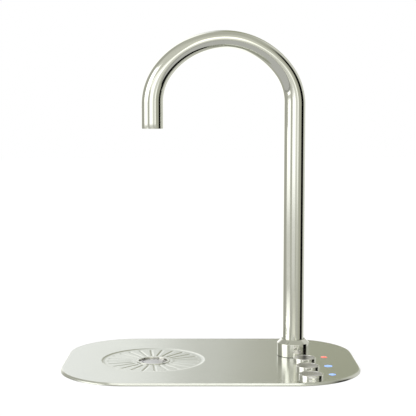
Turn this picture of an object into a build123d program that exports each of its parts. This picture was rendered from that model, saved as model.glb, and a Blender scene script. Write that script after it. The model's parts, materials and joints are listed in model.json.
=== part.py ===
from build123d import *
import math
import os

# Countertop water dispenser: a deck plate with a drain, a swan-neck spout and three push buttons.
# Millimetres. The origin is the middle of the plate on the worktop; +Z is up, +X is towards the
# buttons, +Y is away from the user. What hangs below z = 0 passes through cut-outs in the worktop.

# deck plate
PLATE_LENGTH = 341.0
PLATE_WIDTH = 231.0
PLATE_CORNER = 80.0
PLATE_TOP = 3.2
SHEET = 1.2
PLATE_BEVEL = 1.7
PLATE_INNER_RADIUS = 1.0
WORKTOP = 30.0
FIT_GAP = 0.1

# dished drain area in the plate
DRAIN_X, DRAIN_Y = -67.0, -3.0
DISH_RADIUS = 60.5
DISH_STEP_RADIUS = 57.5
DISH_OUTER_DEPTH = 0.7
DISH_INNER_DEPTH = 1.6
CHANNEL_COUNT = 24
CHANNEL_FIRST_ANGLE = 5.6
CHANNEL_START, CHANNEL_END = 24.0, 54.0
CHANNEL_WIDTH = 3.6
CHANNEL_DEPTH = 0.42

# drain fitting
CUP_BORE = 16.7
CUP_RADIUS = 18.2
CUP_RIM_RADIUS = 19.6
CUP_RIM_HEIGHT = 0.6
CUP_BOTTOM = -26.0
STRAINER_RADIUS = 15.9
STRAINER_TOP = 0.6
STRAINER_THICKNESS = 1.2
STRAINER_HOLES = 16
STRAINER_HOLE_RADIUS = 1.1
STRAINER_HOLE_CIRCLE = 12.2
SPIGOT_RADIUS = 9.5
SPIGOT_BORE = 7.5
SPIGOT_LENGTH = 34.0
DRAIN_SEAL_RADIUS = 24.0
DRAIN_SEAL_HEIGHT = 2.0
DRAIN_NUT_RADIUS = 25.0
DRAIN_NUT_HEIGHT = 7.0
DRAIN_NUT_NOTCHES = 8
DRAIN_NUT_NOTCH_RADIUS = 2.2

# swan-neck spout
TUBE_X, TUBE_Y = 98.8, 22.0
TUBE_RADIUS = 12.5
TUBE_WALL = 1.2
SPOUT_HALF_SPAN = 83.8
SPOUT_RISE = 73.7
SPOUT_SIDE_RADIUS = 63.3
SPOUT_SPRING_HEIGHT = PLATE_TOP + 298.6
SPOUT_TIP_HEIGHT = PLATE_TOP + 269.7
BEND_FLATTENING = 0.14
BEND_STATIONS = 24
TUBE_FOOT = -18.0
SPOUT_TURN = 180.0 + math.degrees(math.asin((TUBE_Y - DRAIN_Y) / (2 * SPOUT_HALF_SPAN)))

# collar, shank and swivel
COLLAR_RADIUS = 18.9
COLLAR_SHOULDER = 15.3
COLLAR_HEIGHT = 20.0
COLLAR_TOP_RADIUS = 13.9
COLLAR_SEAL = 0.4
SHANK_RADIUS = 16.5
SHANK_TOP = 15.2
SHANK_BOTTOM = -62.0
SHANK_BORE = 10.0
SOCKET_FLOOR = -20.0
BUSH_RADIUS = 14.0
BUSH_TOP = 11.0
RUNNING_GAP = 0.05
SWIVEL_LIMIT = 60.0
STOP_PIN_RADIUS = 2.0
STOP_PIN_HEIGHT = -12.0
SEAL_HEIGHTS = (-4.0, 6.0)
SHANK_SEAL_RADIUS, SHANK_SEAL_HEIGHT = 26.0, 2.5
SHANK_WASHER_RADIUS, SHANK_WASHER_HEIGHT = 27.0, 2.0
SHANK_NUT_RADIUS, SHANK_NUT_HEIGHT = 24.0, 9.0

# water lines
LINES = ("hot", "chilled", "sparkling")
LINE_RADIUS = 3.0
LINE_BORE = 2.0
LINE_PITCH_RADIUS = 4.7
LINE_FOOT = -110.0
NOZZLE_LENGTH = 14.0
NOZZLE_RECESS = 1.0

# push buttons
BUTTON_X = 109.8
BUTTON_MIDDLE_Y = -48.6
BUTTON_PITCH = 39.4
BUTTON_TRAVEL = 1.8
BEZEL_RADIUS = 13.4
BEZEL_HEIGHT = 4.0
BEZEL_BEVEL = 0.5
BARREL_RADIUS = 11.0
BARREL_FOOT = -20.0
BUTTON_NUT_RADIUS, BUTTON_NUT_HEIGHT = 13.4, 4.0
BUTTON_SEAL_OUTER, BUTTON_SEAL_INNER, BUTTON_SEAL_HEIGHT = 12.9, 11.5, 0.5
CAP_RADIUS = 10.2
CAP_HEAD_RADIUS = 11.6
CAP_HEAD_THICKNESS = 1.0
CAP_CLEARANCE = 0.08
CAP_RECESS = 0.3
CAP_FOOT = -1.0
CAP_WALL = 1.2
CAP_THICKNESS = 2.6
STEM_RADIUS = 2.6
SPRING_HOLE = 4.0
SPRING_SEAT = -5.0
SPRING_RADIUS = 5.6
SPRING_WIRE = 0.45
SPRING_TURNS = 5

# indicators
INDICATOR_X = 134.4
INDICATOR_Y = {"hot": 8.8, "chilled": -36.1, "sparkling": -75.6}
LENS_RADII = {"hot": 3.9, "chilled": 4.7, "sparkling": 3.9}

# plate fixings
STUD_X, STUD_Y = 80.0, 92.0
STUD_RADIUS = 2.5
STUD_LENGTH = 52.0
STUD_WASHER_RADIUS, STUD_WASHER_HEIGHT = 11.0, 1.5
HUB_RADIUS, HUB_HEIGHT = 5.0, 6.0
WING_LENGTH, WING_HEIGHT, WING_THICKNESS = 8.0, 7.0, 2.0

ROOF = PLATE_TOP - SHEET
DRAIN = (DRAIN_X, DRAIN_Y)
TUBE = (TUBE_X, TUBE_Y)
BUTTONS = {name: BUTTON_MIDDLE_Y + BUTTON_PITCH * (1 - i) for i, name in enumerate(LINES)}
STUDS = [(x, y) for x in (-STUD_X, STUD_X) for y in (-STUD_Y, STUD_Y)]


def cylinder(radius, bottom, top, at=(0, 0)):
    """An upright cylinder between two heights."""
    return Pos(at[0], at[1], bottom) * extrude(Circle(radius), top - bottom)


def ring(outer, inner, bottom, top, at=(0, 0)):
    """An upright ring between two heights."""
    return Pos(at[0], at[1], bottom) * extrude(Circle(outer) - Circle(inner), top - bottom)


def bored_circle(outline, radius, count, bottom, top, at):
    """Cutters of one outline, evenly spaced on a circle, between two heights."""
    cutter = extrude(outline, top - bottom)
    return [Pos(at[0], at[1], bottom) * place * cutter for place in PolarLocations(radius, count)]


def turned(points, at=(0, 0)):
    """A turned piece: an outline of (radius, height) points revolved about a vertical axis."""
    outline = make_face(Plane.XZ * Polyline(*points, close=True))
    return Pos(at[0], at[1], 0) * revolve(outline, Axis.Z)


# ---- deck plate ----

def dish_depth(radius):
    """Depth of the drain area's sloping floor below the plate's top."""
    share = (DISH_STEP_RADIUS - radius) / (DISH_STEP_RADIUS - CUP_RADIUS)
    return DISH_OUTER_DEPTH + share * (DISH_INNER_DEPTH - DISH_OUTER_DEPTH)


def dish_sheet():
    """The pressed drain area, one sheet thick, with a rounded step down from the plate."""
    hole = CUP_RADIUS + FIT_GAP
    floor_in = PLATE_TOP - dish_depth(hole)
    floor_out = PLATE_TOP - DISH_OUTER_DEPTH
    return turned([
        (DISH_RADIUS, PLATE_TOP), (DISH_STEP_RADIUS, floor_out), (hole, floor_in),
        (hole, floor_in - SHEET), (DISH_STEP_RADIUS + 0.4, floor_out - SHEET),
        (DISH_RADIUS + 1.2, ROOF), (DISH_RADIUS, ROOF),
    ], DRAIN)


def drain_channels():
    """Cutters for the pressed channels that lead to the drain, with sloping sides."""
    middle = (CHANNEL_START + CHANNEL_END) / 2
    slope = math.degrees(math.atan((dish_depth(CHANNEL_START) - dish_depth(CHANNEL_END))
                                   / (CHANNEL_END - CHANNEL_START)))
    height = PLATE_TOP - dish_depth(middle)
    above = CHANNEL_DEPTH
    length = CHANNEL_END - CHANNEL_START + 2 * above
    outline = SlotOverall(length, CHANNEL_WIDTH + 2 * above)
    cutter = Pos(0, 0, above) * extrude(outline, -(above + CHANNEL_DEPTH), taper=45)
    placed = Pos(middle, 0, height) * Rot(0, -slope, 0) * cutter
    step = 360 / CHANNEL_COUNT
    return [Pos(DRAIN_X, DRAIN_Y, 0) * Rot(0, 0, CHANNEL_FIRST_ANGLE + step * i) * placed
            for i in range(CHANNEL_COUNT)]


def plate_inside(inset):
    """Space under the plate, inset from its outline, with a rounded top edge."""
    space = extrude(RectangleRounded(PLATE_LENGTH - 2 * inset, PLATE_WIDTH - 2 * inset,
                                     PLATE_CORNER - inset), ROOF)
    return fillet(space.faces().sort_by(Axis.Z)[-1].edges(), PLATE_INNER_RADIUS)


def top_plate():
    """Pressed stainless plate with a turned-down, bevelled edge."""
    body = extrude(RectangleRounded(PLATE_LENGTH, PLATE_WIDTH, PLATE_CORNER), PLATE_TOP)
    body = chamfer(body.faces().sort_by(Axis.Z)[-1].edges(), PLATE_BEVEL)
    body -= plate_inside(SHEET)
    body -= cylinder(DISH_RADIUS, 0, PLATE_TOP + 1, DRAIN)
    body += dish_sheet()
    body -= drain_channels()
    body -= cylinder(SHANK_RADIUS + FIT_GAP, 0, PLATE_TOP + 1, TUBE)
    for name, y in BUTTONS.items():
        body -= cylinder(BARREL_RADIUS + FIT_GAP, 0, PLATE_TOP + 1, (BUTTON_X, y))
        lens = LENS_RADII[name] + FIT_GAP
        body -= cylinder(lens, 0, PLATE_TOP + 1, (INDICATOR_X, INDICATOR_Y[name]))
    return body


def plate_gasket():
    """Foam pad that fills the underside of the plate and seals it to the worktop."""
    pad = plate_inside(SHEET + FIT_GAP)
    pad -= cylinder(DISH_RADIUS + 2, -1, PLATE_TOP, DRAIN)
    pad -= cylinder(SHANK_RADIUS + 0.5, -1, PLATE_TOP, TUBE)
    for name, y in BUTTONS.items():
        pad -= cylinder(BEZEL_RADIUS + 0.5, -1, PLATE_TOP, (BUTTON_X, y))
        pad -= cylinder(LENS_RADII[name] + 3.4, -1, PLATE_TOP, (INDICATOR_X, INDICATOR_Y[name]))
    for stud in STUDS:
        pad -= cylinder(STUD_RADIUS + 2, -1, PLATE_TOP, stud)
    return pad


def plate_studs():
    """Weld studs under the plate, with a small weld foot."""
    return [cylinder(STUD_RADIUS, ROOF - STUD_LENGTH, ROOF, at)
            + cylinder(STUD_RADIUS + 1, ROOF - 0.8, ROOF, at) for at in STUDS]


def stud_washers():
    """Penny washers that clamp the worktop from below."""
    return [ring(STUD_WASHER_RADIUS, STUD_RADIUS + FIT_GAP, -WORKTOP - STUD_WASHER_HEIGHT, -WORKTOP, at)
            for at in STUDS]


def wing_nuts():
    """Wing nuts on the studs: a round hub with two upright wings."""
    nuts = []
    top = -WORKTOP - STUD_WASHER_HEIGHT
    wing = extrude(Plane.XZ * Rectangle(WING_LENGTH, WING_HEIGHT), WING_THICKNESS)
    wing = fillet(wing.edges().filter_by(Axis.Y), WING_THICKNESS)
    reach = HUB_RADIUS + WING_LENGTH / 2 - 1.5
    drop = HUB_HEIGHT + 1.5
    for x, y in STUDS:
        nut = cylinder(HUB_RADIUS, top - HUB_HEIGHT, top, (x, y))
        for side in (-1, 1):
            nut += Pos(x + side * reach, y + WING_THICKNESS / 2, top - drop) * wing
        nuts.append(nut - cylinder(STUD_RADIUS, top - HUB_HEIGHT - WING_HEIGHT, top, (x, y)))
    return nuts


# ---- drain ----

def drain_cup():
    """Waste cup with a rounded rim on the plate, a strainer ledge and a hose spigot."""
    rim_seat = PLATE_TOP - dish_depth(CUP_RADIUS)
    rim_top = rim_seat + CUP_RIM_HEIGHT
    ledge = STRAINER_TOP - STRAINER_THICKNESS
    spigot_end = CUP_BOTTOM - SPIGOT_LENGTH
    cup = turned([
        (CUP_BORE, rim_top - 0.4), (CUP_BORE + 0.5, rim_top), (CUP_RIM_RADIUS - 0.4, rim_top),
        (CUP_RIM_RADIUS, rim_seat + 0.1), (CUP_RADIUS, rim_seat + 0.02),
        (CUP_RADIUS, CUP_BOTTOM + 4), (SPIGOT_RADIUS, CUP_BOTTOM),
        (SPIGOT_RADIUS, spigot_end), (SPIGOT_BORE, spigot_end), (SPIGOT_BORE, CUP_BOTTOM + 1),
        (CUP_BORE - 1.6, CUP_BOTTOM + 6), (CUP_BORE - 1.6, ledge), (CUP_BORE, ledge),
    ], DRAIN)
    return cup


def drain_strainer():
    """Lift-out disc over the waste, with drain holes near its edge and a finger dimple."""
    bottom = STRAINER_TOP - STRAINER_THICKNESS
    disc = cylinder(STRAINER_RADIUS, bottom, STRAINER_TOP, DRAIN)
    disc = chamfer(disc.edges().group_by(Axis.Z)[-1], 0.3)
    return disc - bored_circle(Circle(STRAINER_HOLE_RADIUS), STRAINER_HOLE_CIRCLE, STRAINER_HOLES,
                               bottom, STRAINER_TOP, DRAIN)


def drain_seal():
    """Rubber ring between the plate and the drain nut."""
    top = PLATE_TOP - dish_depth(CUP_RADIUS) - SHEET
    return ring(DRAIN_SEAL_RADIUS, CUP_RADIUS + 0.02, top - DRAIN_SEAL_HEIGHT, top - 0.05, DRAIN)


def drain_nut():
    """Ring nut with grip notches that pulls the cup down on the plate."""
    top = PLATE_TOP - dish_depth(CUP_RADIUS) - SHEET - DRAIN_SEAL_HEIGHT
    bottom = top - DRAIN_NUT_HEIGHT
    return ring(DRAIN_NUT_RADIUS, CUP_RADIUS, bottom, top, DRAIN) - bored_circle(
        Circle(DRAIN_NUT_NOTCH_RADIUS), DRAIN_NUT_RADIUS, DRAIN_NUT_NOTCHES, bottom, top, DRAIN)


# ---- spout ----

def arch_line(inward=0.0):
    """Arcs of the three-centred arch over the spout's legs, in the spout's own plane.

    inward moves them towards the middle of the arch.
    """
    across = SPOUT_HALF_SPAN - SPOUT_SIDE_RADIUS
    crown_radius = ((across ** 2 + SPOUT_RISE ** 2 - SPOUT_SIDE_RADIUS ** 2)
                    / (2 * (SPOUT_RISE - SPOUT_SIDE_RADIUS)))
    side_turn = math.degrees(math.atan2(crown_radius - SPOUT_RISE, across))
    side = JernArc((inward, SPOUT_SPRING_HEIGHT), (0, 1), SPOUT_SIDE_RADIUS - inward, -side_turn)
    crown = JernArc(side @ 1, side % 1, crown_radius - inward, -(180 - 2 * side_turn))
    fall = JernArc(crown @ 1, crown % 1, SPOUT_SIDE_RADIUS - inward, -side_turn)
    return [side, crown, fall]


def in_spout_plane(lines, sideways=0.0):
    """One wire from lines drawn in the spout's own plane, moved out of it by sideways."""
    place = Pos(TUBE_X, TUBE_Y, 0) * Rot(0, 0, SPOUT_TURN) * Pos(0, sideways, 0)
    return place * (Plane.XZ * Wire(lines))


def spout_path(start, end, inward=0.0, sideways=0.0):
    """Line of the swan neck: up, over the arch and down to the tip."""
    arch = arch_line(inward)
    up = Line((inward, start), arch[0] @ 0)
    down = Line(arch[-1] @ 1, ((arch[-1] @ 1).X, end))
    return in_spout_plane([up, *arch, down], sideways)


def swept_tube(path, radius, bore):
    """A round tube along a path."""
    section = Plane(origin=path @ 0, z_dir=path % 0) * (Circle(radius) - Circle(bore))
    return sweep(section, path=path)


def bend_space(path, inset):
    """The bent part of the swan neck as one solid, inset from its outside.

    Bending flattens the tube, least at the legs and most at the crown.
    """
    turn = math.radians(SPOUT_TURN)
    sideways = Vector(-math.sin(turn), math.cos(turn), 0)
    sections = []
    for station in range(BEND_STATIONS + 1):
        along = path % (station / BEND_STATIONS)
        flattened = 1 - BEND_FLATTENING * math.hypot(along.X, along.Y)
        plane = Plane(origin=path @ (station / BEND_STATIONS), x_dir=sideways, z_dir=along)
        sections.append(plane * Ellipse(TUBE_RADIUS - inset, TUBE_RADIUS * flattened - inset))
    return loft(sections)


def spout_tube():
    """Swan neck: one tube with two straight legs and a bend."""
    arch = in_spout_plane(arch_line())
    tip = ((arch @ 1).X, (arch @ 1).Y)
    tube = bend_space(arch, 0) - bend_space(arch, TUBE_WALL)
    tube += ring(TUBE_RADIUS, TUBE_RADIUS - TUBE_WALL, TUBE_FOOT, SPOUT_SPRING_HEIGHT, TUBE)
    return tube + ring(TUBE_RADIUS, TUBE_RADIUS - TUBE_WALL, SPOUT_TIP_HEIGHT, SPOUT_SPRING_HEIGHT, tip)


def line_offset(index):
    """Place of a water line's axis inside the swan neck."""
    angle = math.radians(90 + 120 * index)
    return LINE_PITCH_RADIUS * math.cos(angle), LINE_PITCH_RADIUS * math.sin(angle)


def nozzle_top():
    return SPOUT_TIP_HEIGHT + NOZZLE_RECESS + NOZZLE_LENGTH


def water_line(index):
    """One water line, from its tail under the worktop to the nozzle."""
    inward, sideways = line_offset(index)
    end = SPOUT_TIP_HEIGHT + NOZZLE_RECESS + 5
    return swept_tube(spout_path(LINE_FOOT, end, inward, sideways), LINE_RADIUS, LINE_BORE)


def outlet_nozzle():
    """Plug in the spout's tip that holds the three lines and has one outlet for each."""
    bottom = SPOUT_TIP_HEIGHT + NOZZLE_RECESS
    plug = cylinder(TUBE_RADIUS - TUBE_WALL - 0.02, bottom, nozzle_top())
    plug = chamfer(plug.edges(), 0.6)
    for index in range(len(LINES)):
        inward, sideways = line_offset(index)
        at = (-inward, sideways)
        plug -= cylinder(LINE_RADIUS + 0.01, bottom + 5, nozzle_top(), at)
        plug -= cylinder(LINE_BORE, bottom, nozzle_top(), at)
    tip = Pos(TUBE_X, TUBE_Y, 0) * Rot(0, 0, SPOUT_TURN) * Pos(2 * SPOUT_HALF_SPAN, 0, 0)
    return tip * plug


# ---- collar, shank and swivel ----

def spout_collar():
    """Round collar that screws on the shank, with a bevelled top around the tube."""
    foot = PLATE_TOP + COLLAR_SEAL
    inner = TUBE_RADIUS + 0.35
    return turned([
        (COLLAR_RADIUS, foot), (COLLAR_RADIUS, PLATE_TOP + COLLAR_SHOULDER),
        (COLLAR_TOP_RADIUS, PLATE_TOP + COLLAR_HEIGHT), (inner, PLATE_TOP + COLLAR_HEIGHT),
        (inner, SHANK_TOP + 0.4), (SHANK_RADIUS + 0.02, SHANK_TOP + 0.4),
        (SHANK_RADIUS + 0.02, foot),
    ], TUBE)


def collar_seal():
    """Thin ring between the collar and the plate."""
    return ring(COLLAR_RADIUS - 0.3, SHANK_RADIUS + 0.05, PLATE_TOP, PLATE_TOP + COLLAR_SEAL, TUBE)


def stop_direction():
    """Turn of the swivel stop, which is opposite to the spout's own direction."""
    return Rot(0, 0, SPOUT_TURN + 180)


def spout_shank():
    """Threaded shank through the worktop, with the swivel socket in its top."""
    socket = BUSH_RADIUS + RUNNING_GAP
    shank = turned([
        (SHANK_RADIUS, SHANK_TOP), (SHANK_RADIUS, SHANK_BOTTOM), (SHANK_BORE, SHANK_BOTTOM),
        (SHANK_BORE, SOCKET_FLOOR - 0.3), (socket, SOCKET_FLOOR - 0.3), (socket, BUSH_TOP + 0.35),
        (socket + 0.75, BUSH_TOP + 0.35), (socket + 0.75, BUSH_TOP + 1.4), (socket, BUSH_TOP + 1.4),
        (socket, SHANK_TOP),
    ])
    hole = Pos(0, 0, STOP_PIN_HEIGHT) * extrude(Plane.YZ * Circle(STOP_PIN_RADIUS), SHANK_RADIUS + 1)
    return Pos(TUBE_X, TUBE_Y, 0) * (shank - stop_direction() * hole)


def swivel_stop_pin():
    """Grub screw in the shank that stands in the bush's slot and limits the swivel."""
    pin = Plane.YZ * Circle(STOP_PIN_RADIUS)
    pin = Pos(TUBE_RADIUS + 0.5, 0, STOP_PIN_HEIGHT) * extrude(pin, SHANK_RADIUS - TUBE_RADIUS - 0.7)
    return Pos(TUBE_X, TUBE_Y, 0) * stop_direction() * pin


def swivel_bush():
    """Plastic bush on the foot of the tube, with seal grooves and the stop slot."""
    lip = TUBE_RADIUS - TUBE_WALL
    bush = turned([
        (BUSH_RADIUS, BUSH_TOP), (TUBE_RADIUS, BUSH_TOP), (TUBE_RADIUS, TUBE_FOOT),
        (lip, TUBE_FOOT), (lip, SOCKET_FLOOR), (BUSH_RADIUS, SOCKET_FLOOR),
    ])
    for height in SEAL_HEIGHTS:
        bush -= ring(BUSH_RADIUS + 1, BUSH_RADIUS - 1.2, height - 0.65, height + 0.65)
    reach = SWIVEL_LIMIT + math.degrees(math.asin((STOP_PIN_RADIUS + 0.35) / TUBE_RADIUS))
    wedge = make_face(Plane.XZ * Polyline(
        (TUBE_RADIUS, STOP_PIN_HEIGHT - 2.4), (BUSH_RADIUS + 1, STOP_PIN_HEIGHT - 2.4),
        (BUSH_RADIUS + 1, STOP_PIN_HEIGHT + 2.4), (TUBE_RADIUS, STOP_PIN_HEIGHT + 2.4), close=True))
    slot = stop_direction() * Rot(0, 0, -reach) * revolve(wedge, Axis.Z, 2 * reach)
    return Pos(TUBE_X, TUBE_Y, 0) * (bush - slot)


def swivel_seals():
    """Two O-rings in the bush's grooves."""
    return [Pos(TUBE_X, TUBE_Y, height) * Torus(BUSH_RADIUS - 0.58, 0.6) for height in SEAL_HEIGHTS]


def spout_retainer():
    """Snap ring in the shank that keeps the bush, and so the spout, from lifting out."""
    opened = ring(BUSH_RADIUS + 0.75, TUBE_RADIUS + 0.35, BUSH_TOP + 0.4, BUSH_TOP + 1.35)
    gap = Pos(BUSH_RADIUS, 0, BUSH_TOP) * Box(6, 5, 6)
    return Pos(TUBE_X, TUBE_Y, 0) * stop_direction() * (opened - gap)


def shank_seal():
    """Rubber washer under the worktop."""
    return ring(SHANK_SEAL_RADIUS, SHANK_RADIUS + 0.05, -WORKTOP - SHANK_SEAL_HEIGHT, -WORKTOP, TUBE)


def shank_washer():
    """Steel washer over the rubber one."""
    top = -WORKTOP - SHANK_SEAL_HEIGHT
    return ring(SHANK_WASHER_RADIUS, SHANK_RADIUS + FIT_GAP, top - SHANK_WASHER_HEIGHT, top, TUBE)


def shank_nut():
    """Hexagon nut that clamps the shank under the worktop."""
    top = -WORKTOP - SHANK_SEAL_HEIGHT - SHANK_WASHER_HEIGHT
    bottom = top - SHANK_NUT_HEIGHT
    nut = Pos(TUBE_X, TUBE_Y, bottom) * extrude(RegularPolygon(SHANK_NUT_RADIUS, 6), SHANK_NUT_HEIGHT)
    return nut - cylinder(SHANK_RADIUS, bottom, top, TUBE)


# ---- push buttons ----

def cap_top():
    """Height of the rim of a button's cap at rest."""
    return PLATE_TOP + BEZEL_HEIGHT - CAP_RECESS


def cap_head_bottom():
    """Underside of the cap's wide head at rest."""
    return cap_top() - CAP_HEAD_THICKNESS


def button_body(y):
    """Bezel and threaded barrel in one piece, with a pocket for the cap and a seat for the spring."""
    top = PLATE_TOP + BEZEL_HEIGHT
    bore = CAP_RADIUS + CAP_CLEARANCE
    pocket = CAP_HEAD_RADIUS + CAP_CLEARANCE
    pocket_floor = cap_head_bottom() - BUTTON_TRAVEL - 0.1
    body = turned([
        (BEZEL_RADIUS, PLATE_TOP), (BEZEL_RADIUS, top - BEZEL_BEVEL), (BEZEL_RADIUS - BEZEL_BEVEL, top),
        (pocket + 0.3, top), (pocket, top - 0.3), (pocket, pocket_floor), (bore, pocket_floor),
        (bore, SPRING_SEAT), (SPRING_HOLE, SPRING_SEAT), (SPRING_HOLE, SPRING_SEAT - 1.5),
        (bore - 0.8, SPRING_SEAT - 1.5), (bore - 0.8, BARREL_FOOT), (BARREL_RADIUS, BARREL_FOOT),
        (BARREL_RADIUS, PLATE_TOP),
    ], (BUTTON_X, y))
    return body - ring(BUTTON_SEAL_OUTER + 0.1, BUTTON_SEAL_INNER - 0.1, PLATE_TOP,
                       PLATE_TOP + BUTTON_SEAL_HEIGHT, (BUTTON_X, y))


def button_seal(y):
    """Flat ring in the groove under the bezel."""
    return ring(BUTTON_SEAL_OUTER, BUTTON_SEAL_INNER, PLATE_TOP, PLATE_TOP + BUTTON_SEAL_HEIGHT,
                (BUTTON_X, y))


def button_nut(y):
    """Ring nut under the plate, with four key slots."""
    bottom = ROOF - BUTTON_NUT_HEIGHT
    nut = ring(BUTTON_NUT_RADIUS, BARREL_RADIUS, bottom, ROOF, (BUTTON_X, y))
    return nut - bored_circle(Rectangle(2.5, 3), BUTTON_NUT_RADIUS, 4, bottom, ROOF, (BUTTON_X, y))


def button_cap(y):
    """Moving cap: a wide dished head, a guide skirt and a stem that works the switch."""
    top = cap_top()
    inner = CAP_RADIUS - CAP_WALL
    roof = top - CAP_THICKNESS
    stem_end = SPRING_SEAT - 1.4
    return turned([
        (0, top - 0.7), (0, stem_end), (STEM_RADIUS, stem_end), (STEM_RADIUS, roof), (inner, roof),
        (inner, CAP_FOOT), (CAP_RADIUS, CAP_FOOT), (CAP_RADIUS, cap_head_bottom()),
        (CAP_HEAD_RADIUS, cap_head_bottom()), (CAP_HEAD_RADIUS, top - 0.3), (CAP_HEAD_RADIUS - 0.3, top),
        (CAP_HEAD_RADIUS - 1.5, top), (CAP_HEAD_RADIUS - 3.5, top - 0.45),
    ], (BUTTON_X, y))


def button_spring(y):
    """Return spring between the cap and its seat in the barrel."""
    roof = cap_top() - CAP_THICKNESS
    height = roof - SPRING_SEAT - 2 * SPRING_WIRE - 0.1
    coil = Helix(height / SPRING_TURNS, height, SPRING_RADIUS)
    wire = sweep(Plane(origin=coil @ 0, z_dir=coil % 0) * Circle(SPRING_WIRE), path=coil)
    return Pos(BUTTON_X, y, SPRING_SEAT + SPRING_WIRE + 0.05) * wire


def button_switch(y):
    """Switch block in the foot of the barrel, with two terminals."""
    bore = CAP_RADIUS + CAP_CLEARANCE - 0.8
    block = cylinder(bore - 0.02, BARREL_FOOT - 2, SPRING_SEAT - 4.4, (BUTTON_X, y))
    for side in (-1, 1):
        block += Pos(BUTTON_X + side * 4, y, BARREL_FOOT - 4.5) * Box(0.8, 4.8, 5)
    return block


# ---- indicators ----

def indicator_lens(name, at):
    """Clear cap that shows flush in the plate, with a slight crown."""
    radius = LENS_RADII[name]
    return turned([
        (0, -1.0), (radius, -1.0), (radius, PLATE_TOP), (radius - 0.5, PLATE_TOP + 0.35),
        (0, PLATE_TOP + 0.5),
    ], at)


def indicator_holder(name, at):
    """Sleeve that holds the lens and the lamp under the plate."""
    radius = LENS_RADII[name]
    return turned([
        (radius + 0.03, ROOF), (radius + 2.6, ROOF), (radius + 2.6, -8.0), (2.55, -8.0),
        (2.55, -1.8), (radius + 0.03, -1.8),
    ], at)


def indicator_lamp(at):
    """Lamp with a domed end and two leads."""
    lamp = cylinder(2.5, -7.0, -3.0, at) + Pos(at[0], at[1], -3.7) * Sphere(2.3)
    for side in (-1, 1):
        lamp += Pos(at[0] + side * 1.27, at[1], -11) * Box(0.5, 0.5, 8.2)
    return lamp


def all_parts():
    """Every piece by name; a list stands for a group of identical separate solids."""
    parts = {
        "top_plate": top_plate(),
        "plate_gasket": plate_gasket(),
        "plate_studs": plate_studs(),
        "stud_washers": stud_washers(),
        "wing_nuts": wing_nuts(),
        "drain_cup": drain_cup(),
        "drain_strainer": drain_strainer(),
        "drain_seal": drain_seal(),
        "drain_nut": drain_nut(),
        "spout_tube": spout_tube(),
        "outlet_nozzle": outlet_nozzle(),
        "spout_collar": spout_collar(),
        "collar_seal": collar_seal(),
        "spout_shank": spout_shank(),
        "swivel_stop_pin": swivel_stop_pin(),
        "swivel_bush": swivel_bush(),
        "swivel_seals": swivel_seals(),
        "spout_retainer": spout_retainer(),
        "shank_seal": shank_seal(),
        "shank_washer": shank_washer(),
        "shank_nut": shank_nut(),
    }
    for index, name in enumerate(LINES):
        y = BUTTONS[name]
        lamp_at = (INDICATOR_X, INDICATOR_Y[name])
        parts[f"water_line_{name}"] = water_line(index)
        parts[f"button_body_{name}"] = button_body(y)
        parts[f"button_seal_{name}"] = button_seal(y)
        parts[f"button_nut_{name}"] = button_nut(y)
        parts[f"button_cap_{name}"] = button_cap(y)
        parts[f"button_spring_{name}"] = button_spring(y)
        parts[f"button_switch_{name}"] = button_switch(y)
        parts[f"indicator_lens_{name}"] = indicator_lens(name, lamp_at)
        parts[f"indicator_holder_{name}"] = indicator_holder(name, lamp_at)
        parts[f"indicator_lamp_{name}"] = indicator_lamp(lamp_at)
    return parts


os.makedirs("parts", exist_ok=True)
for node, piece in all_parts().items():
    solid = Compound(children=piece) if isinstance(piece, list) else piece
    export_step(solid, f"parts/{node}.step")
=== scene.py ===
import json
import math

import bmesh
import bpy
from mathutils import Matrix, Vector
from mathutils.geometry import tessellate_polygon


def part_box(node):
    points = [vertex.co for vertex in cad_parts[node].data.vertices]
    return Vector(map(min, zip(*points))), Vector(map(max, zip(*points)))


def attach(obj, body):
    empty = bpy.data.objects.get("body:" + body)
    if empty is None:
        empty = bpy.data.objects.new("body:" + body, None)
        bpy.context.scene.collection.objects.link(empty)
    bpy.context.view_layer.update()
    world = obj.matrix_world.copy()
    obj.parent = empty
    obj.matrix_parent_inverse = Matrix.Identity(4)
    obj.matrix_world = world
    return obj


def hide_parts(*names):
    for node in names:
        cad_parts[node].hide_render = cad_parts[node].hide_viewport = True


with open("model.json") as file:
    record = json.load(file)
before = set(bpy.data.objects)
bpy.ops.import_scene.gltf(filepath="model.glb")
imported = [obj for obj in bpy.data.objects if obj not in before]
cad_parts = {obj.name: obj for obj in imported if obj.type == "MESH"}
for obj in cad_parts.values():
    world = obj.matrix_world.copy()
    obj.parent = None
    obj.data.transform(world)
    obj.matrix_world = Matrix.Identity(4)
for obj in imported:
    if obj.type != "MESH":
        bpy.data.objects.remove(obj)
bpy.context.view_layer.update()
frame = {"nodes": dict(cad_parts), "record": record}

# Countertop water dispenser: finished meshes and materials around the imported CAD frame, in metres.
MM = 0.001
LINES = ("hot", "chilled", "sparkling")


def centre_of(node):
    """Middle of a CAD node's box, as (x, y)."""
    low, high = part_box(node)
    return (low.x + high.x) / 2, (low.y + high.y) / 2


def radius_of(node):
    """Half the width of a round CAD node."""
    low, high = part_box(node)
    return (high.x - low.x) / 2


# ---- sizes: places come from the frame, sections repeat the CAD's driving dimensions ----

PLATE_LOW, PLATE_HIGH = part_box("top_plate")
PLATE_TOP = PLATE_HIGH.z
PLATE_CORNER = 80 * MM
EDGE_BEVEL = 1.7 * MM
SHEET = 1.2 * MM
ROOF = PLATE_TOP - SHEET
HOLE_GAP = 0.1 * MM

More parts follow.
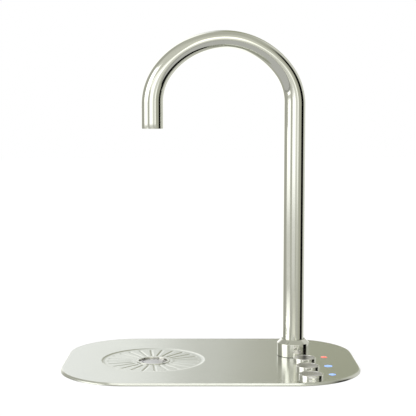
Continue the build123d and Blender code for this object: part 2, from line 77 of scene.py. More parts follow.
DRAIN = centre_of("drain_cup")
DISH_RADIUS = 60.5 * MM
DISH_STEP = 3.0 * MM
DISH_OUTER_DEPTH = 0.7 * MM
DISH_INNER_DEPTH = 1.6 * MM
CHANNEL_COUNT = 24
CHANNEL_FIRST_ANGLE = math.radians(5.6)
CHANNEL_START, CHANNEL_END = 25.2 * MM, 52.2 * MM
CHANNEL_HALF_WIDTH = 2.3 * MM
CHANNEL_DEPTH = 0.42 * MM

SPOUT_AXIS = centre_of("spout_shank")
TUBE_LOW, TUBE_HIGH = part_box("spout_tube")
TUBE_RADIUS = 12.5 * MM
TUBE_WALL = 1.2 * MM
SPOUT_HALF_SPAN = 83.8 * MM
SPOUT_RISE = 73.7 * MM
SPOUT_SIDE_RADIUS = 63.3 * MM
BEND_FLATTENING = 0.14
SPRING_HEIGHT = PLATE_TOP + 298.6 * MM
TIP_HEIGHT = PLATE_TOP + 269.7 * MM
SPOUT_LEAN = math.asin((SPOUT_AXIS[1] - DRAIN[1]) / (2 * SPOUT_HALF_SPAN))

COLLAR_RADIUS = radius_of("spout_collar")
COLLAR_SHELF = 12 * MM
COLLAR_SHOULDER = 15.3 * MM
COLLAR_TOP_RADIUS = 13.9 * MM
COLLAR_GAP = 0.35 * MM
BUTTONS = {name: centre_of(f"button_body_{name}") for name in LINES}
LENSES = {name: centre_of(f"indicator_lens_{name}") for name in LINES}

CUP_BORE = 16.7 * MM
CUP_RADIUS = 18.2 * MM
CUP_THROAT = 15.1 * MM
CUP_BOTTOM = -26 * MM
SPIGOT_RADIUS, SPIGOT_BORE = 9.5 * MM, 7.5 * MM
STRAINER_HOLES = 16
STRAINER_HOLE_RADIUS = 1.1 * MM
STRAINER_HOLE_CIRCLE = 12.2 * MM

BARREL_RADIUS = 11 * MM
THREAD_PITCH = 1 * MM
THREAD_DEPTH = 0.4 * MM
POCKET_FLOOR = PLATE_TOP + 0.8 * MM
SPRING_SEAT = -5 * MM
SPRING_SEAT_THICKNESS = 1.5 * MM
SPRING_HOLE = 4 * MM
CAP_CLEARANCE = 0.08 * MM
CAP_HEAD = 1.0 * MM
CAP_THICKNESS = 2.6 * MM
CAP_DISH = 0.62 * MM
CAP_SKIRT_RADIUS = 10.2 * MM
CAP_WALL = 1.2 * MM
CAP_FOOT = -1 * MM
STEM_RADIUS = 2.6 * MM


# ---- mesh helpers ----

def add_piece(name, verts, faces, sharp=math.radians(38)):
    """A welded, outward-facing, smooth-shaded mesh object with its real corners kept sharp."""
    work = bmesh.new()
    corners = [work.verts.new(v) for v in verts]
    for face in faces:
        if len(set(face)) > 2:
            work.faces.new([corners[i] for i in face])
    bmesh.ops.remove_doubles(work, verts=work.verts, dist=1e-7)
    bmesh.ops.recalc_face_normals(work, faces=work.faces)
    mesh = bpy.data.meshes.new(name)
    work.to_mesh(mesh)
    work.free()
    mesh.polygons.foreach_set("use_smooth", [True] * len(mesh.polygons))
    mesh.set_sharp_from_angle(angle=sharp)
    piece = bpy.data.objects.new(name, mesh)
    bpy.context.scene.collection.objects.link(piece)
    return piece


def rounded(corners, steps=5):
    """A closed outline from (x, y, rounding radius) corners; radius 0 keeps a corner sharp."""
    outline = []
    for i, (x, y, radius) in enumerate(corners):
        here = Vector((x, y))
        if radius == 0:
            outline.append((x, y))
            continue
        before = (Vector(corners[i - 1][:2]) - here).normalized()
        after = (Vector(corners[(i + 1) % len(corners)][:2]) - here).normalized()
        half = before.angle(after) / 2
        middle = here + (before + after).normalized() * (radius / math.sin(half))
        first = here + before * (radius / math.tan(half)) - middle
        last = here + after * (radius / math.tan(half)) - middle
        turn = first.angle(last)
        for k in range(steps + 1):
            share = k / steps
            spoke = (first * math.sin((1 - share) * turn) + last * math.sin(share * turn)) / math.sin(turn)
            outline.append(tuple(middle + spoke))
    return outline


def lathe(name, outline, at, segments=144):
    """A turned piece from a closed outline of (radius, height) points."""
    count = len(outline)
    verts = []
    for s in range(segments):
        angle = 2 * math.pi * s / segments
        verts += [(at[0] + r * math.cos(angle), at[1] + r * math.sin(angle), z) for r, z in outline]
    faces = []
    for s in range(segments):
        here, there = s * count, ((s + 1) % segments) * count
        faces += [(here + i, there + i, there + (i + 1) % count, here + (i + 1) % count)
                  for i in range(count)]
    return add_piece(name, verts, faces)


def smoothstep(x):
    x = min(max(x, 0.0), 1.0)
    return x * x * (3 - 2 * x)


# ---- deck plate ----

def plate_loop(inset, height, steps=40):
    """The plate's rounded-rectangle outline, moved inwards by inset."""
    radius = PLATE_CORNER - inset
    across = (PLATE_HIGH.x - PLATE_CORNER, PLATE_HIGH.y - PLATE_CORNER)
    loop = []
    for quarter, (sx, sy) in enumerate(((1, 1), (-1, 1), (-1, -1), (1, -1))):
        for k in range(steps + 1):
            angle = math.radians(90 * (quarter + k / steps))
            loop.append((sx * across[0] + radius * math.cos(angle),
                         sy * across[1] + radius * math.sin(angle), height))
    return loop


def circle_loop(at, radius, height, segments):
    """Points of a circle, anticlockwise from +X."""
    return [(at[0] + radius * math.cos(2 * math.pi * k / segments),
             at[1] + radius * math.sin(2 * math.pi * k / segments), height) for k in range(segments)]


def dish_depth(radius, angle):
    """How far the drain area lies below the plate at a point given from the drain's middle."""
    step = smoothstep((DISH_RADIUS + 0.3 * MM - radius) / DISH_STEP)
    slope = (DISH_RADIUS - radius) / (DISH_RADIUS - CUP_RADIUS)
    depth = step * (DISH_OUTER_DEPTH + max(slope, 0) * (DISH_INNER_DEPTH - DISH_OUTER_DEPTH))
    spacing = 2 * math.pi / CHANNEL_COUNT
    off = (angle - CHANNEL_FIRST_ANGLE + spacing / 2) % spacing - spacing / 2
    along, side = radius * math.cos(off), radius * math.sin(off)
    beyond = max(CHANNEL_START - along, along - CHANNEL_END, 0)
    away = math.hypot(beyond, side) / CHANNEL_HALF_WIDTH
    return depth + CHANNEL_DEPTH * smoothstep(1 - away)


class Sheet:
    """Gathers the plate's points and faces, loop by loop."""

    def __init__(self):
        self.verts, self.faces = [], []

    def loop(self, points):
        first = len(self.verts)
        self.verts += points
        return list(range(first, first + len(points)))

    def band(self, one, two):
        """Quads between two loops with as many points each."""
        for i in range(len(one)):
            j = (i + 1) % len(one)
            self.faces.append((one[i], one[j], two[j], two[i]))

    def flat(self, outer, holes):
        """Triangles that fill a flat loop around its holes."""
        loops = [outer] + holes
        index = [i for loop in loops for i in loop]
        lines = [[Vector(self.verts[i]) for i in loop] for loop in loops]
        for triangle in tessellate_polygon(lines):
            self.faces.append(tuple(index[i] for i in triangle))


def deck_plate():
    """Pressed plate: bevelled turned-down edge, drain area with channels, and its round holes."""
    sheet = Sheet()
    segments, rings = 20 * CHANNEL_COUNT, 56
    margin = 1 * MM

    # turned-down edge: bottom rim, outer side, bevelled shoulder, then a narrow flat margin
    inner_low = sheet.loop(plate_loop(SHEET, 0))
    loops = [inner_low, sheet.loop(plate_loop(0, 0))]
    bevel = rounded([(-1, -1, 0), (0, -1, 0), (0, PLATE_TOP - EDGE_BEVEL, 0.5 * MM),
                     (EDGE_BEVEL, PLATE_TOP, 0.5 * MM), (1, PLATE_TOP, 0)])[2:-1]
    for inset, height in bevel:
        loops.append(sheet.loop(plate_loop(inset, height)))
    loops.append(sheet.loop(plate_loop(EDGE_BEVEL + margin, PLATE_TOP)))
    for one, two in zip(loops, loops[1:]):
        sheet.band(one, two)
    inner_high = sheet.loop(plate_loop(SHEET, ROOF))
    sheet.band(inner_high, inner_low)

    # drain area, upper and lower face
    hole = CUP_RADIUS + HOLE_GAP
    reach = DISH_RADIUS + 1.2 * MM
    faces = []
    for drop in (0, SHEET):
        previous = None
        for ring in range(rings + 1):
            share = ring / rings
            radius = reach + (hole - reach) * (share if share > 0.12 else share * 0.6)
            points = []
            for s in range(segments):
                angle = 2 * math.pi * s / segments
                z = PLATE_TOP - drop - dish_depth(radius, angle)
                points.append((DRAIN[0] + radius * math.cos(angle), DRAIN[1] + radius * math.sin(angle), z))
            current = sheet.loop(points)
            if previous is None:
                faces.append(current)
            else:
                sheet.band(previous, current)
            previous = current
        faces.append(previous)
    sheet.band(faces[1], faces[3])

    # round holes with their walls
    top_holes, roof_holes = [faces[0]], [faces[2]]
    places = [(SPOUT_AXIS, radius_of("spout_shank"))]
    places += [(at, BARREL_RADIUS) for at in BUTTONS.values()]
    places += [(at, radius_of(f"indicator_lens_{name}")) for name, at in LENSES.items()]
    for at, radius in places:
        top = sheet.loop(circle_loop(at, radius + HOLE_GAP, PLATE_TOP, 72))
        roof = sheet.loop(circle_loop(at, radius + HOLE_GAP, ROOF, 72))
        sheet.band(top, roof)
        top_holes.append(top)
        roof_holes.append(roof)
    sheet.flat(loops[-1], top_holes)
    sheet.flat(inner_high, roof_holes)
    return add_piece("deck_plate_finished", sheet.verts, sheet.faces)


# ---- spout ----

def spout_line():
    """Stations of the swan neck in its own plane: (across, height, direction angle)."""
    across = SPOUT_HALF_SPAN - SPOUT_SIDE_RADIUS
    crown_radius = ((across ** 2 + SPOUT_RISE ** 2 - SPOUT_SIDE_RADIUS ** 2)
                    / (2 * (SPOUT_RISE - SPOUT_SIDE_RADIUS)))
    side_turn = math.atan2(crown_radius - SPOUT_RISE, across)
    crown_height = SPRING_HEIGHT + SPOUT_RISE - crown_radius
    arcs = [
        (SPOUT_SIDE_RADIUS, SPRING_HEIGHT, SPOUT_SIDE_RADIUS, 0, side_turn, 30),
        (SPOUT_HALF_SPAN, crown_height, crown_radius, side_turn, math.pi - side_turn, 76),
        (2 * SPOUT_HALF_SPAN - SPOUT_SIDE_RADIUS, SPRING_HEIGHT, SPOUT_SIDE_RADIUS,
         math.pi - side_turn, math.pi, 30),
    ]
    line = [(0, TUBE_LOW.z + (SPRING_HEIGHT - TUBE_LOW.z) * k / 24, 0) for k in range(24)]
    for x, z, radius, start, stop, steps in arcs:
        for k in range(steps):
            turn = start + (stop - start) * k / steps
            line.append((x - radius * math.cos(turn), z + radius * math.sin(turn), turn))
    drop = SPRING_HEIGHT - TIP_HEIGHT
    line += [(2 * SPOUT_HALF_SPAN, SPRING_HEIGHT - drop * k / 4, math.pi) for k in range(5)]
    return line


def spout_place(across, sideways, height):
    """From the swan neck's own plane to the frame."""
    turn = math.pi + SPOUT_LEAN
    return (SPOUT_AXIS[0] + across * math.cos(turn) - sideways * math.sin(turn),
            SPOUT_AXIS[1] + across * math.sin(turn) + sideways * math.cos(turn), height)


def swan_neck():
    """Bent tube with its inner wall and a softened lip at the tip."""
    sheet = Sheet()
    segments = 112
    line = spout_line()
    lip = 0.35 * MM

    def ring(station, inset, shift=0.0):
        across, height, turn = station
        depth = TUBE_RADIUS * (1 - BEND_FLATTENING * math.sin(turn)) - inset
        points = []
        for s in range(segments):
            angle = 2 * math.pi * s / segments
            outward, sideways = depth * math.cos(angle), (TUBE_RADIUS - inset) * math.sin(angle)
            points.append(spout_place(across - outward * math.cos(turn) + shift * math.sin(turn), sideways,
                                      height + outward * math.sin(turn) + shift * math.cos(turn)))
        return sheet.loop(points)

    tip = line[-1]
    loops = [ring(station, 0) for station in line[:-1]]
    for k in range(5):
        angle = math.radians(90 * k / 4)
        loops.append(ring(tip, lip * (1 - math.cos(angle)), -lip * (1 - math.sin(angle))))
    for k in range(5):
        angle = math.radians(90 * k / 4)
        loops.append(ring(tip, TUBE_WALL - lip * (1 - math.sin(angle)), -lip * (1 - math.cos(angle))))
    loops += [ring(station, TUBE_WALL) for station in reversed(line[:-1])]
    for one, two in zip(loops, loops[1:] + loops[:1]):
        sheet.band(one, two)
    return add_piece("swan_neck_finished", sheet.verts, sheet.faces)


def collar():
    """Collar with a bevelled top; its corners are broken by small radii."""
    low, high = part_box("spout_collar")
    inner = TUBE_RADIUS + COLLAR_GAP
    thread = radius_of("spout_shank") + 0.02 * MM
    shelf = low.z + COLLAR_SHELF
    return lathe("collar_finished", rounded([
        (COLLAR_RADIUS, low.z, 0.05 * MM), (COLLAR_RADIUS, PLATE_TOP + COLLAR_SHOULDER, 0.5 * MM),
        (COLLAR_TOP_RADIUS, high.z, 0.4 * MM), (inner, high.z, 0.2 * MM), (inner, shelf, 0),
        (thread, shelf, 0), (thread, low.z, 0),
    ]), SPOUT_AXIS)


# ---- drain ----

def drain_cup():
    """Waste cup: softly rounded rim, ledge for the strainer, body and spigot."""
    low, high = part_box("drain_cup")
    seat = PLATE_TOP - DISH_INNER_DEPTH
    rim = radius_of("drain_cup")
    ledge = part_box("drain_strainer")[0].z
    return lathe("drain_cup_finished", rounded([
        (CUP_BORE, high.z, 0.45 * MM), (rim, high.z, 0.3 * MM), (rim, seat + 0.1 * MM, 0),
        (CUP_RADIUS, seat + 0.1 * MM, 0), (CUP_RADIUS, CUP_BOTTOM + 4 * MM, 1 * MM),
        (SPIGOT_RADIUS, CUP_BOTTOM, 0.5 * MM), (SPIGOT_RADIUS, low.z, 0.3 * MM),
        (SPIGOT_BORE, low.z, 0.3 * MM), (SPIGOT_BORE, CUP_BOTTOM + 1 * MM, 0),
        (CUP_THROAT, CUP_BOTTOM + 6 * MM, 1 * MM), (CUP_THROAT, ledge, 0), (CUP_BORE, ledge, 0),
    ]), DRAIN)


def finished_strainer():
    """Strainer disc with round holes near its edge."""
    low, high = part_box("drain_strainer")
    radius = radius_of("drain_strainer")
    sheet = Sheet()
    segments = 96
    soft = 0.3 * MM
    rim = [(radius - soft, high.z), (radius - soft * 0.3, high.z - soft * 0.3), (radius, high.z - soft),
           (radius, low.z)]
    loops = [sheet.loop(circle_loop(DRAIN, r, z, segments)) for r, z in rim]
    for one, two in zip(loops, loops[1:]):
        sheet.band(one, two)
    tops, bottoms = [], []
    for at_x, at_y, _ in circle_loop(DRAIN, STRAINER_HOLE_CIRCLE, high.z, STRAINER_HOLES):
        top = sheet.loop(circle_loop((at_x, at_y), STRAINER_HOLE_RADIUS, high.z, 20))
        bottom = sheet.loop(circle_loop((at_x, at_y), STRAINER_HOLE_RADIUS, low.z, 20))
        sheet.band(top, bottom)
        tops.append(top)
        bottoms.append(bottom)
    sheet.flat(loops[0], tops)
    sheet.flat(loops[-1], bottoms)
    return add_piece("drain_strainer_finished", sheet.verts, sheet.faces)


# ---- buttons and indicators ----

def button_bezel(name):
    """Polished bezel with a pocket for the cap, and its threaded barrel with real thread ridges."""
    low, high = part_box(f"button_body_{name}")
    radius = radius_of(f"button_body_{name}")
    bore = CAP_SKIRT_RADIUS + CAP_CLEARANCE
    pocket = radius_of(f"button_cap_{name}") + CAP_CLEARANCE
    root = BARREL_RADIUS - THREAD_DEPTH
    guide = bore - 0.8 * MM
    seat_bottom = SPRING_SEAT - SPRING_SEAT_THICKNESS
    corners = [
        (bore, POCKET_FLOOR, 0), (pocket, POCKET_FLOOR, 0), (pocket, high.z, 0.25 * MM),
        (radius, high.z, 0.45 * MM), (radius, PLATE_TOP, 0.1 * MM), (BARREL_RADIUS, PLATE_TOP, 0),
    ]
    thread_top = PLATE_TOP - 2 * SHEET
    for k in range(int((thread_top - low.z) / THREAD_PITCH) - 1):
        height = thread_top - k * THREAD_PITCH
        corners += [(BARREL_RADIUS, height, 0), (root, height - THREAD_PITCH / 2, 0)]
    corners += [
        (root, low.z, 0), (guide, low.z, 0), (guide, seat_bottom, 0),
        (SPRING_HOLE, seat_bottom, 0), (SPRING_HOLE, SPRING_SEAT, 0), (bore, SPRING_SEAT, 0),
    ]
    return lathe(f"button_bezel_{name}_finished", rounded(corners), BUTTONS[name], 120)


def button_cap(name):
    """Cap with a wide dished head, its skirt and its stem."""
    low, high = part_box(f"button_cap_{name}")
    radius = radius_of(f"button_cap_{name}")
    inner = CAP_SKIRT_RADIUS - CAP_WALL
    roof = high.z - CAP_THICKNESS
    dish = [(radius * (1 - k / 14), high.z - CAP_DISH * math.sin(math.pi / 2 * (k - 1) / 13))
            for k in range(2, 15)]
    outline = rounded([
        (inner, CAP_FOOT, 0), (CAP_SKIRT_RADIUS, CAP_FOOT, 0), (CAP_SKIRT_RADIUS, high.z - CAP_HEAD, 0),
        (radius, high.z - CAP_HEAD, 0), (radius, high.z, 0.35 * MM),
        (radius * 0.93, high.z, 0),
    ])
    outline += dish
    outline += [(0, low.z), (STEM_RADIUS, low.z), (STEM_RADIUS, roof), (inner, roof)]
    return lathe(f"button_cap_{name}_finished", outline, BUTTONS[name], 120)


def indicator_lens(name):
    """Crowned lens flush with the plate."""
    low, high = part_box(f"indicator_lens_{name}")
    radius = radius_of(f"indicator_lens_{name}")
    rise = high.z - PLATE_TOP
    crown = [(radius * math.cos(math.radians(a)), PLATE_TOP + rise * math.sin(math.radians(a)))
             for a in range(0, 91, 9)]
    outline = crown + [(0, low.z), (radius, low.z)]
    return lathe(f"indicator_lens_{name}_finished", outline, LENSES[name], 72)


# ---- materials ----

def new_material(name, color, roughness, metallic=0.0, **sockets):
    """A Principled material with its even values on the shader's own sockets."""
    material = bpy.data.materials.new(name)
    material.use_nodes = True
    shader = material.node_tree.nodes["Principled BSDF"]
    shader.inputs["Base Color"].default_value = (*color, 1)
    shader.inputs["Roughness"].default_value = roughness
    shader.inputs["Metallic"].default_value = metallic
    for socket, value in sockets.items():
        shader.inputs[socket.replace("_", " ")].default_value = value
    return material


def add_node(material, kind, **inputs):
    node = material.node_tree.nodes.new(kind)
    for socket, value in inputs.items():
        node.inputs[socket.replace("_", " ")].default_value = value
    return node


def link(material, source, target):
    material.node_tree.links.new(source, target)


def grain(material, size, stretch=(1, 1, 1), detail=3.0, roughness=0.55):
    """Noise in object space whose spots are size metres across, stretched along an axis."""
    coords = add_node(material, "ShaderNodeTexCoord")
    mapping = add_node(material, "ShaderNodeMapping", Scale=stretch)
    noise = add_node(material, "ShaderNodeTexNoise", Scale=1 / size, Detail=detail, Roughness=roughness)
    link(material, coords.outputs["Object"], mapping.inputs["Vector"])
    link(material, mapping.outputs["Vector"], noise.inputs["Vector"])
    return noise.outputs["Fac"]


def vary(material, source, socket, low, high):
    """Drives a shader socket between two values by a noise."""
    spread = add_node(material, "ShaderNodeMapRange", From_Min=0.3, From_Max=0.7, To_Min=low, To_Max=high)
    link(material, source, spread.inputs["Value"])
    shader = material.node_tree.nodes["Principled BSDF"]
    link(material, spread.outputs["Result"], shader.inputs[socket])


def tint(material, source, color_a, color_b):
    """Drifts the base colour between two close tones by a noise."""
    ramp = add_node(material, "ShaderNodeValToRGB")
    ramp.color_ramp.elements[0].position = 0.35
    ramp.color_ramp.elements[1].position = 0.65
    ramp.color_ramp.elements[0].color = (*color_a, 1)
    ramp.color_ramp.elements[1].color = (*color_b, 1)
    link(material, source, ramp.inputs["Fac"])
    shader = material.node_tree.nodes["Principled BSDF"]
    link(material, ramp.outputs["Color"], shader.inputs["Base Color"])


def bump(material, source, height, strength=1.0):
    """Surface relief from a noise, height metres deep."""
    node = add_node(material, "ShaderNodeBump", Distance=height, Strength=strength)
    link(material, source, node.inputs["Height"])
    shader = material.node_tree.nodes["Principled BSDF"]
    link(material, node.outputs["Normal"], shader.inputs["Normal"])


def brush_along(material, axis):
    """Lines of brushing across the given direction: reflections smear along it."""
    vector = add_node(material, "ShaderNodeCombineXYZ", X=axis[0], Y=axis[1], Z=axis[2])
    shader = material.node_tree.nodes["Principled BSDF"]
    link(material, vector.outputs["Vector"], shader.inputs["Tangent"])


def brushed_plate_steel():
    """Deck plate: fine brushing along X, so reflections smear towards the user."""
    material = new_material("brushed_plate_steel", (0.66, 0.67, 0.63), 0.2, 1.0, Anisotropic=0.75)
    brush_along(material, (0, 1, 0))
    strokes = grain(material, 0.35 * MM, (0.012, 1, 1), 4.0)
    patches = grain(material, 45 * MM)
    vary(material, strokes, "Roughness", 0.16, 0.24)
    tint(material, patches, (0.655, 0.665, 0.625), (0.67, 0.68, 0.64))
    bump(material, strokes, 0.004 * MM, 0.25)
    return material


def polished_steel():
    """Spout, collar and cup: polished stainless with faint polishing lines and handling marks."""
    material = new_material("polished_steel", (0.66, 0.665, 0.62), 0.09, 1.0)
    strokes = grain(material, 0.5 * MM, (1, 1, 0.02), 3.0)
    smears = grain(material, 30 * MM, (1, 1, 0.6), 5.0, 0.6)
    vary(material, smears, "Roughness", 0.06, 0.12)
    tint(material, smears, (0.65, 0.655, 0.61), (0.67, 0.675, 0.63))
    bump(material, strokes, 0.002 * MM, 0.2)
    return material


def chrome():
    """Button bezels: bright chrome with hairline wear."""
    material = new_material("bezel_chrome", (0.8, 0.8, 0.78), 0.06, 1.0)
    vary(material, grain(material, 6 * MM, detail=6.0), "Roughness", 0.04, 0.1)
    bump(material, grain(material, 0.4 * MM), 0.002 * MM, 0.2)
    return material


def satin_cap():
    """Button tops: turned satin finish, faintly lilac."""
    material = new_material("satin_cap", (0.62, 0.6, 0.63), 0.3, 1.0, Anisotropic=0.5)
    tangent = add_node(material, "ShaderNodeTangent")
    tangent.direction_type = "RADIAL"
    tangent.axis = "Z"
    shader = material.node_tree.nodes["Principled BSDF"]
    link(material, tangent.outputs["Tangent"], shader.inputs["Tangent"])
    vary(material, grain(material, 0.8 * MM, detail=5.0), "Roughness", 0.24, 0.36)
    tint(material, grain(material, 5 * MM), (0.6, 0.585, 0.62), (0.65, 0.63, 0.655))
    return material


def satin_steel():
    """Strainer disc: fine satin, slightly lilac from water film."""
    material = new_material("strainer_satin", (0.6, 0.59, 0.61), 0.34, 1.0)
    vary(material, grain(material, 1.2 * MM, detail=4.0), "Roughness", 0.28, 0.4)
    tint(material, grain(material, 8 * MM), (0.58, 0.57, 0.6), (0.63, 0.62, 0.64))
    bump(material, grain(material, 0.3 * MM), 0.01 * MM, 0.3)
    return material


def lens(name, color, glow):
    """Lit indicator: glossy tinted cap whose glow varies a little across it by a noise."""
    material = new_material(name, color, 0.18, Coat_Weight=0.4, Coat_Roughness=0.08)
    shader = material.node_tree.nodes["Principled BSDF"]
    shader.inputs["Emission Color"].default_value = (*color, 1)
    vary(material, grain(material, 3 * MM, detail=2.0), "Emission Strength", glow * 0.85, glow * 1.15)
    bump(material, grain(material, 0.5 * MM), 0.004 * MM, 0.3)
    return material


def plain(name, color_a, color_b, roughness, spot, depth, metallic=0.0, **sockets):
    """Moulded, cast or plated stock: colour drift, uneven roughness and a fine relief."""
    material = new_material(name, color_a, roughness, metallic, **sockets)
    noise = grain(material, spot, detail=5.0)
    tint(material, noise, color_a, color_b)
    vary(material, noise, "Roughness", roughness * 0.85, min(roughness * 1.15, 1))
    bump(material, grain(material, spot / 6), depth, 0.5)
    return material


def all_materials():
    return {
        "brushed_plate": brushed_plate_steel(),
        "polished_steel": polished_steel(),
        "chrome": chrome(),
        "button_top": satin_cap(),
        "satin_steel": satin_steel(),
        "red_lens": lens("red_lens_lit", (0.88, 0.14, 0.11), 0.8),
        "blue_lens": lens("blue_lens_lit", (0.24, 0.42, 1.0), 0.85),
        "zinc_steel": plain("zinc_plate", (0.62, 0.62, 0.6), (0.7, 0.7, 0.66), 0.32, 4 * MM, 0.01 * MM,
                            1.0),
        "brass": plain("turned_brass", (0.72, 0.54, 0.26), (0.8, 0.62, 0.34), 0.28, 3 * MM, 0.01 * MM, 1.0),
        "foam": plain("foam", (0.02, 0.02, 0.02), (0.05, 0.05, 0.05), 0.9, 1.5 * MM, 0.2 * MM),
        "seal_rubber": plain("seal_rubber", (0.015, 0.015, 0.016), (0.03, 0.03, 0.03), 0.62, 2 * MM,
                             0.03 * MM),
        "black_plastic": plain("black_plastic", (0.02, 0.02, 0.022), (0.04, 0.04, 0.042), 0.45, 2 * MM,
                               0.03 * MM),
        "white_plastic": plain("acetal", (0.78, 0.78, 0.74), (0.84, 0.84, 0.8), 0.4, 3 * MM, 0.02 * MM),
        "water_line": plain("line_tube", (0.72, 0.76, 0.78), (0.82, 0.86, 0.88), 0.25, 6 * MM, 0.02 * MM,
                            Subsurface_Weight=0.2),
        "lamp_epoxy": plain("lamp_epoxy", (0.8, 0.8, 0.8), (0.9, 0.9, 0.9), 0.12, 3 * MM, 0.01 * MM),
    }


# ---- studio ----

class Sky:
    """Studio surroundings as patches of light placed by azimuth and elevation.

    Azimuth 0 is in front of the object, where the user stands, and 90 is to its right.
    """

    def __init__(self):
        world = bpy.data.worlds.new("studio")
        bpy.context.scene.world = world
        world.use_nodes = True
        self.tree = world.node_tree
        self.tree.nodes.clear()
        ray = self.node("ShaderNodeTexCoord").outputs["Generated"]
        split = self.node("ShaderNodeSeparateXYZ")
        self.tree.links.new(ray, split.inputs[0])
        x, y, z = split.outputs
        self.azimuth = self.math("DEGREES", self.math("ARCTAN2", x, self.math("MULTIPLY", y, -1.0)))
        self.behind = self.math("DEGREES", self.math("ARCTAN2", x, y))
        self.elevation = self.math("DEGREES", self.math("ARCSINE", z))
        self.color = None

    def node(self, kind):
        return self.tree.nodes.new(kind)

    def math(self, operation, *values):
        node = self.node("ShaderNodeMath")
        node.operation = operation
        for socket, value in zip(node.inputs, values):
            if isinstance(value, (int, float)):
                socket.default_value = value
            else:
                self.tree.links.new(value, socket)
        return node.outputs[0]

    def step(self, value, start, stop):
        """0 before start and 1 past stop, with a smooth rise between."""
        node = self.node("ShaderNodeMapRange")
        node.interpolation_type = "SMOOTHSTEP"
        self.tree.links.new(value, node.inputs["Value"])
        low, high = sorted((start, stop))
        node.inputs["From Min"].default_value = low
        node.inputs["From Max"].default_value = high
        node.inputs["To Min"].default_value = 1 if stop < start else 0
        node.inputs["To Max"].default_value = 0 if stop < start else 1
        return node.outputs["Result"]

    def window(self, azimuths, elevations, soft_a, soft_e, around=None):
        """Mask of a soft-edged patch."""
        (a0, a1), (e0, e1) = azimuths, elevations
        around = around or self.azimuth
        sides = [self.step(around, a0 - soft_a, a0 + soft_a),
                 self.step(around, a1 + soft_a, a1 - soft_a),
                 self.step(self.elevation, e0 - soft_e, e0 + soft_e),
                 self.step(self.elevation, e1 + soft_e, e1 - soft_e)]
        mask = sides[0]
        for side in sides[1:]:
            mask = self.math("MULTIPLY", mask, side)
        return mask

    def base(self, color):
        """The colour of the whole surroundings before any patch."""
        node = self.node("ShaderNodeRGB")
        node.outputs[0].default_value = (*color, 1)
        self.color = node.outputs[0]

    def backdrop(self, stops, azimuths, elevations):
        """A colour ramp across the part of the surroundings behind the object."""
        start, end = stops[0][0], stops[-1][0]
        share = self.node("ShaderNodeMapRange")
        self.tree.links.new(self.behind, share.inputs["Value"])
        share.inputs["From Min"].default_value = start
        share.inputs["From Max"].default_value = end
        ramp = self.node("ShaderNodeValToRGB")
        self.tree.links.new(share.outputs["Result"], ramp.inputs["Fac"])
        ramp.color_ramp.interpolation = "EASE"
        while len(ramp.color_ramp.elements) < len(stops):
            ramp.color_ramp.elements.new(0.5)
        for element, (angle, color) in zip(ramp.color_ramp.elements, stops):
            element.position = (angle - start) / (end - start)
            element.color = (*color, 1)
        self.patch(ramp.outputs["Color"], self.window(azimuths, elevations, 6, 8, self.behind))

    def patch(self, color, mask):
        """Lays a plain or shaded colour over what is there, where the mask is 1."""
        mix = self.node("ShaderNodeMix")
        mix.data_type = "RGBA"
        self.tree.links.new(mask, mix.inputs["Factor"])
        self.tree.links.new(self.color, mix.inputs["A"])
        if isinstance(color, tuple):
            mix.inputs["B"].default_value = (*color, 1)
        else:
            self.tree.links.new(color, mix.inputs["B"])
        self.color = mix.outputs["Result"]

    def finish(self, backdrop):
        """Lights the object with the patches, while the camera sees a plain backdrop."""
        seen = self.node("ShaderNodeLightPath").outputs["Is Camera Ray"]
        mix = self.node("ShaderNodeMix")
        mix.data_type = "RGBA"
        self.tree.links.new(seen, mix.inputs["Factor"])
        self.tree.links.new(self.color, mix.inputs["A"])
        mix.inputs["B"].default_value = (*backdrop, 1)
        shine = self.node("ShaderNodeBackground")
        out = self.node("ShaderNodeOutputWorld")
        self.tree.links.new(mix.outputs["Result"], shine.inputs["Color"])
        self.tree.links.new(shine.outputs[0], out.inputs["Surface"])


# Patches of light: colour, azimuth range, elevation range, softness of the sides and of the ends.
# Each lies over the ones before it.
PATCHES = [
    ((0.80, 0.80, 0.72), (-92, 60), (12, 62), 12, 16),
    ((0.62, 0.62, 0.56), (-181, 181), (-91, -6), 1, 2),
    ((0.52, 0.52, 0.46), (-140, -99), (-40, 60), 6, 12),
    ((0.95, 0.95, 0.88), (4, 30), (-5, 14), 3, 3),
    ((1.90, 1.90, 1.86), (-90, -49), (-5, 40), 5, 4),
    ((1.75, 1.75, 1.72), (-27, 6), (-5, 13), 3, 3),
    ((1.60, 1.60, 1.50), (28, 38), (-5, 13), 3, 3),
    ((0.55, 0.55, 0.46), (48, 80), (-40, 50), 3, 10),
    ((0.85, 0.85, 0.78), (116, 150), (-40, 50), 4, 10),
    ((0.00, 0.00, 0.00), (73, 107), (-70, 45), 3, 8),
    ((0.86, 0.86, 0.80), (-86, -45), (-9, -5.5), 5, 1),
    ((0.93, 0.93, 0.88), (-25, 8), (-9, -5.5), 4, 1),
    ((0.76, 0.76, 0.68), (22, 42), (-9, -5.5), 4, 1),
    ((2.30, 2.30, 2.20), (-84, -42), (-34, -10.2), 5, 1.2),
    ((1.20, 1.20, 1.05), (-14, 18), (-34, -10.8), 6, 1.2),
    ((2.60, 2.60, 2.50), (-90, -49), (5, 40), 5, 3),
    ((2.00, 2.00, 1.75), (6, 28), (13, 34), 4, 3),
    ((0.62, 0.62, 0.60), (-110, 66), (-91, -13.9), 6, 0.6),
    ((0.36, 0.36, 0.34), (-110, 66), (-17, -13.9), 6, 0.6),
    ((0.00, 0.00, 0.00), (64, 104), (-91, -13.9), 3, 0.6),
]
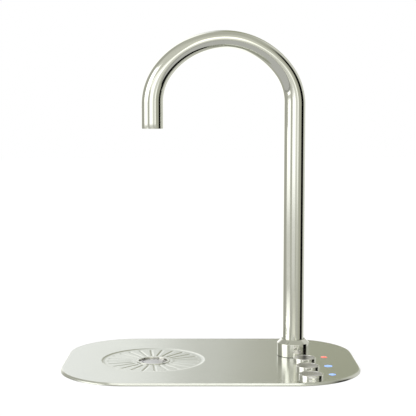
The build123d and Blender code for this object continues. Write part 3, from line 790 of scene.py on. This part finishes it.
# The background behind the object as the plate mirrors it, from its left end to its right end.
BEHIND = [(-24, (1.55, 1.55, 1.50)), (-13, (1.50, 1.50, 1.45)), (-8, (1.06, 1.08, 1.07)),
          (-4.5, (1.04, 1.06, 1.03)), (0, (0.70, 0.71, 0.66)), (3.4, (0.53, 0.535, 0.46)),
          (6, (0.42, 0.43, 0.32)), (9, (0.42, 0.43, 0.315))]


def studio():
    """Soft light boxes in front, a dark flag on the right and a background that fades to the right."""
    sky = Sky()
    sky.base((0.60, 0.605, 0.53))
    for color, azimuths, elevations, side, end in PATCHES:
        sky.patch(color, sky.window(azimuths, elevations, side, end))
    sky.backdrop(BEHIND, (-30, 20), (2, 60))
    sky.patch((1.55, 1.55, 1.50), sky.window((-30, 20), (-91, 5), 6, 1.5, sky.behind))
    sky.finish((1, 1, 1))


def overhead_box():
    """Long light box above and in front of the plate, which draws the line along its bevelled edge."""
    light = bpy.data.lights.new("overhead_box", "AREA")
    light.shape = "RECTANGLE"
    light.size, light.size_y = 0.46, 0.10
    light.spread = math.radians(130)
    light.energy = 0.69 * math.pi * light.size * light.size_y
    box = bpy.data.objects.new("overhead_box", light)
    box.location = (-0.04, -0.22, 0.395)
    box.rotation_euler = (math.radians(24), 0, 0)
    box.visible_camera = False
    bpy.context.scene.collection.objects.link(box)


def floor():
    """Plain pale floor, evenly lit so that it meets the backdrop."""
    bpy.ops.mesh.primitive_plane_add(size=12, location=(0, 0, 0))
    plane = bpy.context.object
    plane.name = "floor"
    plane.visible_glossy = False
    material = new_material("pale_floor", (0.25, 0.25, 0.28), 0.8)
    shader = material.node_tree.nodes["Principled BSDF"]
    shader.inputs["Specular IOR Level"].default_value = 0
    shader.inputs["Emission Color"].default_value = (1, 1, 1, 1)
    shader.inputs["Emission Strength"].default_value = 0.83
    plane.data.materials.append(material)


def camera():
    """Long lens, a little above the plate and level with the top of the legs."""
    data = bpy.data.cameras.new("camera")
    data.sensor_width = 36
    data.lens = 90.71
    data.clip_end = 50
    eye = bpy.data.objects.new("camera", data)
    eye.location = (-0.0041, -1.2128, 0.28534)
    eye.rotation_euler = (math.radians(90 - 4.911), math.radians(-0.026), math.radians(-0.054))
    bpy.context.scene.collection.objects.link(eye)
    bpy.context.scene.camera = eye
    bpy.context.scene.view_settings.view_transform = "Standard"


# ---- assembly ----

def dress(materials):
    """Gives every CAD node that stays in sight or inside the material of its slot."""
    slots = {entry["node"]: entry["material_slot"] for entry in frame["record"]["subparts"]}
    for node, piece in frame["nodes"].items():
        for material_slot in piece.material_slots:
            material_slot.material = materials[slots[node]]
    return slots


def stand_for(piece, node, slots, materials):
    """A finished piece takes over from one CAD node: its body, its slot and its material."""
    bodies = frame["record"]["behaviour"]["bodies"]
    body = next(name for name, members in bodies.items() if node in members)
    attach(piece, body)
    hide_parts(node)
    piece.data.materials.append(materials[slots[node]])


camera()
studio()
overhead_box()
floor()
MATERIALS = all_materials()
SLOTS = dress(MATERIALS)
FINISHED = {
    "top_plate": deck_plate(),
    "spout_tube": swan_neck(),
    "spout_collar": collar(),
    "drain_cup": drain_cup(),
    "drain_strainer": finished_strainer(),
}
for line in LINES:
    FINISHED[f"button_body_{line}"] = button_bezel(line)
    FINISHED[f"button_cap_{line}"] = button_cap(line)
    FINISHED[f"indicator_lens_{line}"] = indicator_lens(line)
    FINISHED[f"indicator_lens_{line}"].visible_glossy = False
for node_name, finished in FINISHED.items():
    stand_for(finished, node_name, SLOTS, MATERIALS)

bpy.context.view_layer.update()
